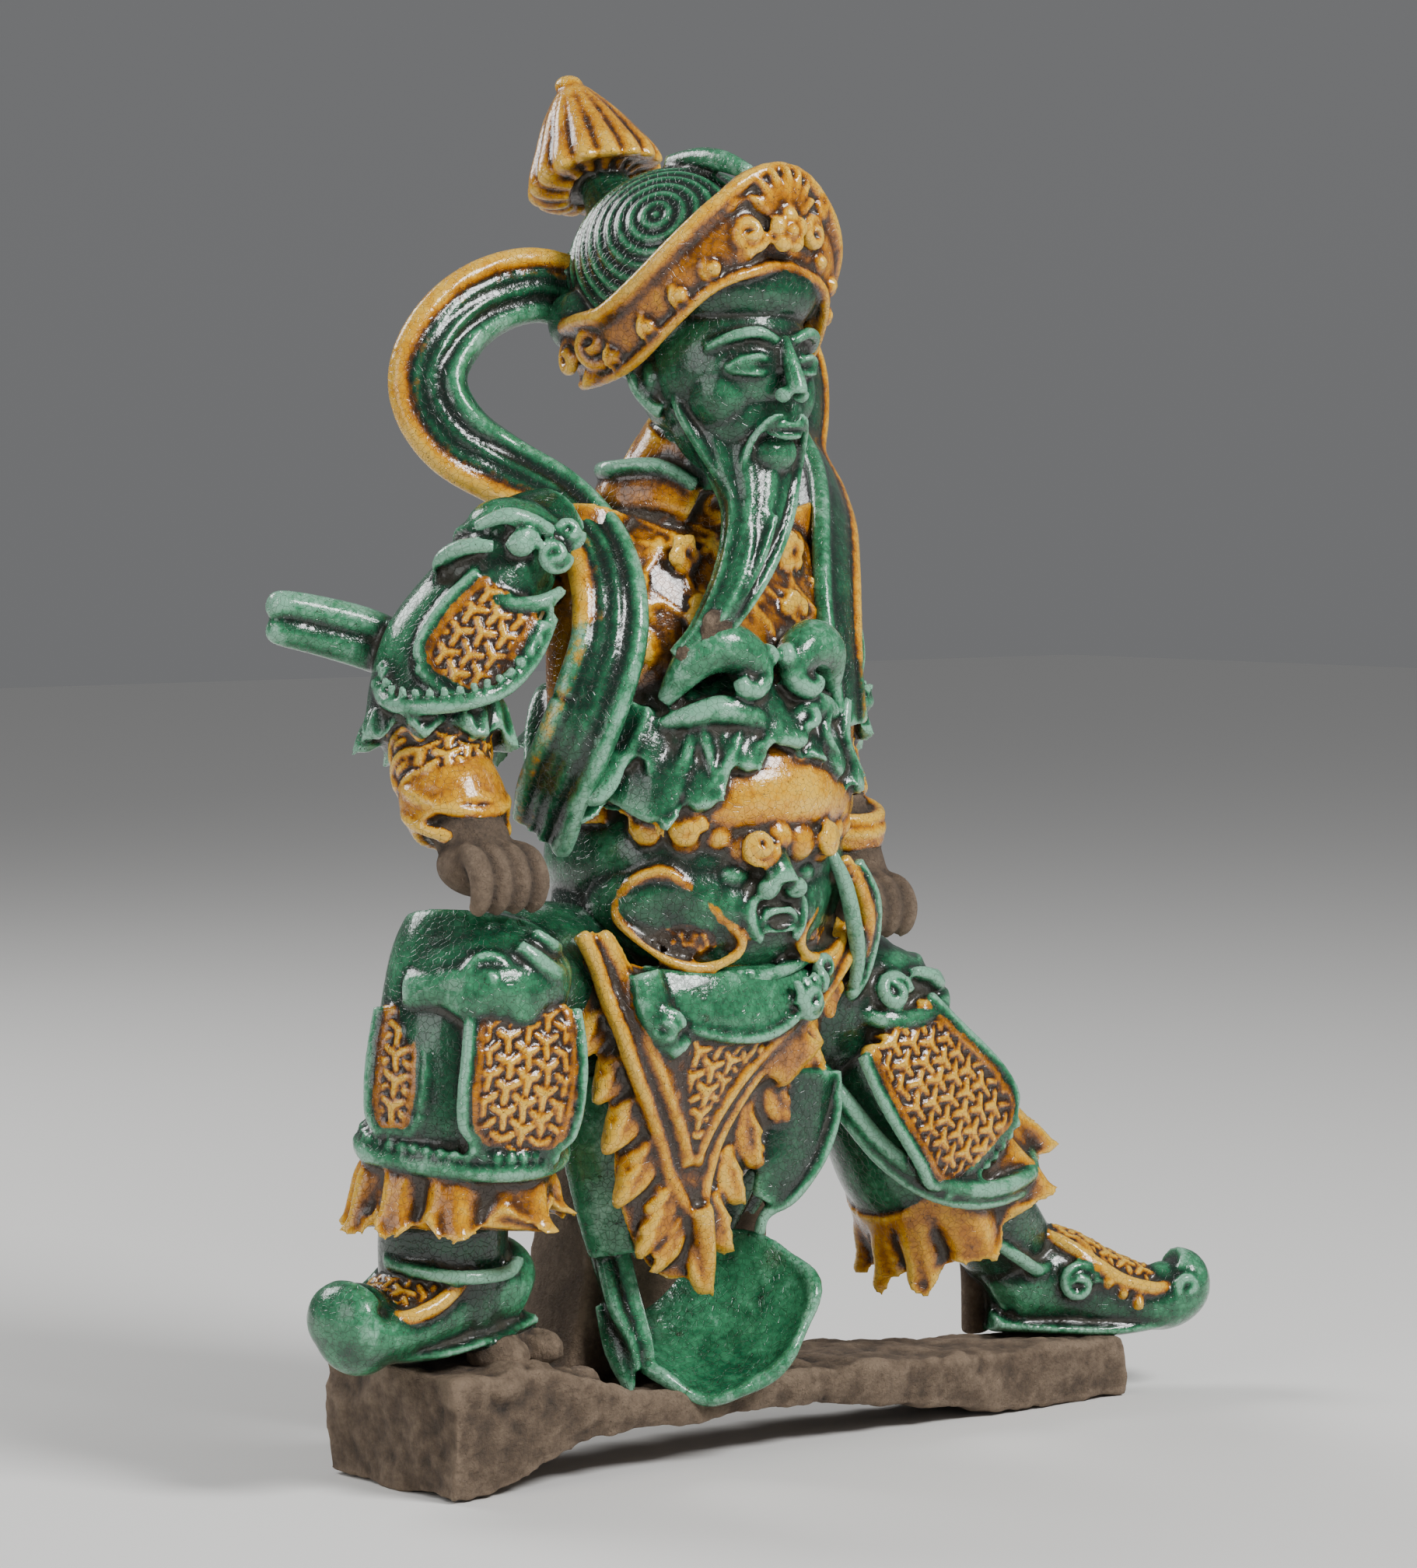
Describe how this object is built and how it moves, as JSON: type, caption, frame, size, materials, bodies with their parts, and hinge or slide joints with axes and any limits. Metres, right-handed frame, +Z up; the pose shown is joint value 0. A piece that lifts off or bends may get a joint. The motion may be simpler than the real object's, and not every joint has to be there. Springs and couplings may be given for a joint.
{
  "type": "glazed ceramic roof figure",
  "caption": "Seated armoured guardian with tasselled cap and looping scarf on an arched ridge-tile base, fired as one piece to crown a roof ridge.",
  "frame": {"origin": "on the ground plane under the middle of the whole figure's bounding box", "axes": "+X along the ridge tile towards the figure's outstretched left leg, +Y towards the figure's back, +Z up"},
  "size_m": [0.4191, 0.1458, 0.5208],
  "materials": {
    "glazed_clay": "green, amber and brown lead glazes over a buff clay body, glossy and finely crazed, bare grey-brown clay on the base and hands"
  },
  "bodies": {
    "root": {"roof_figure": "glazed_clay"}
  },
  "joints": []
}
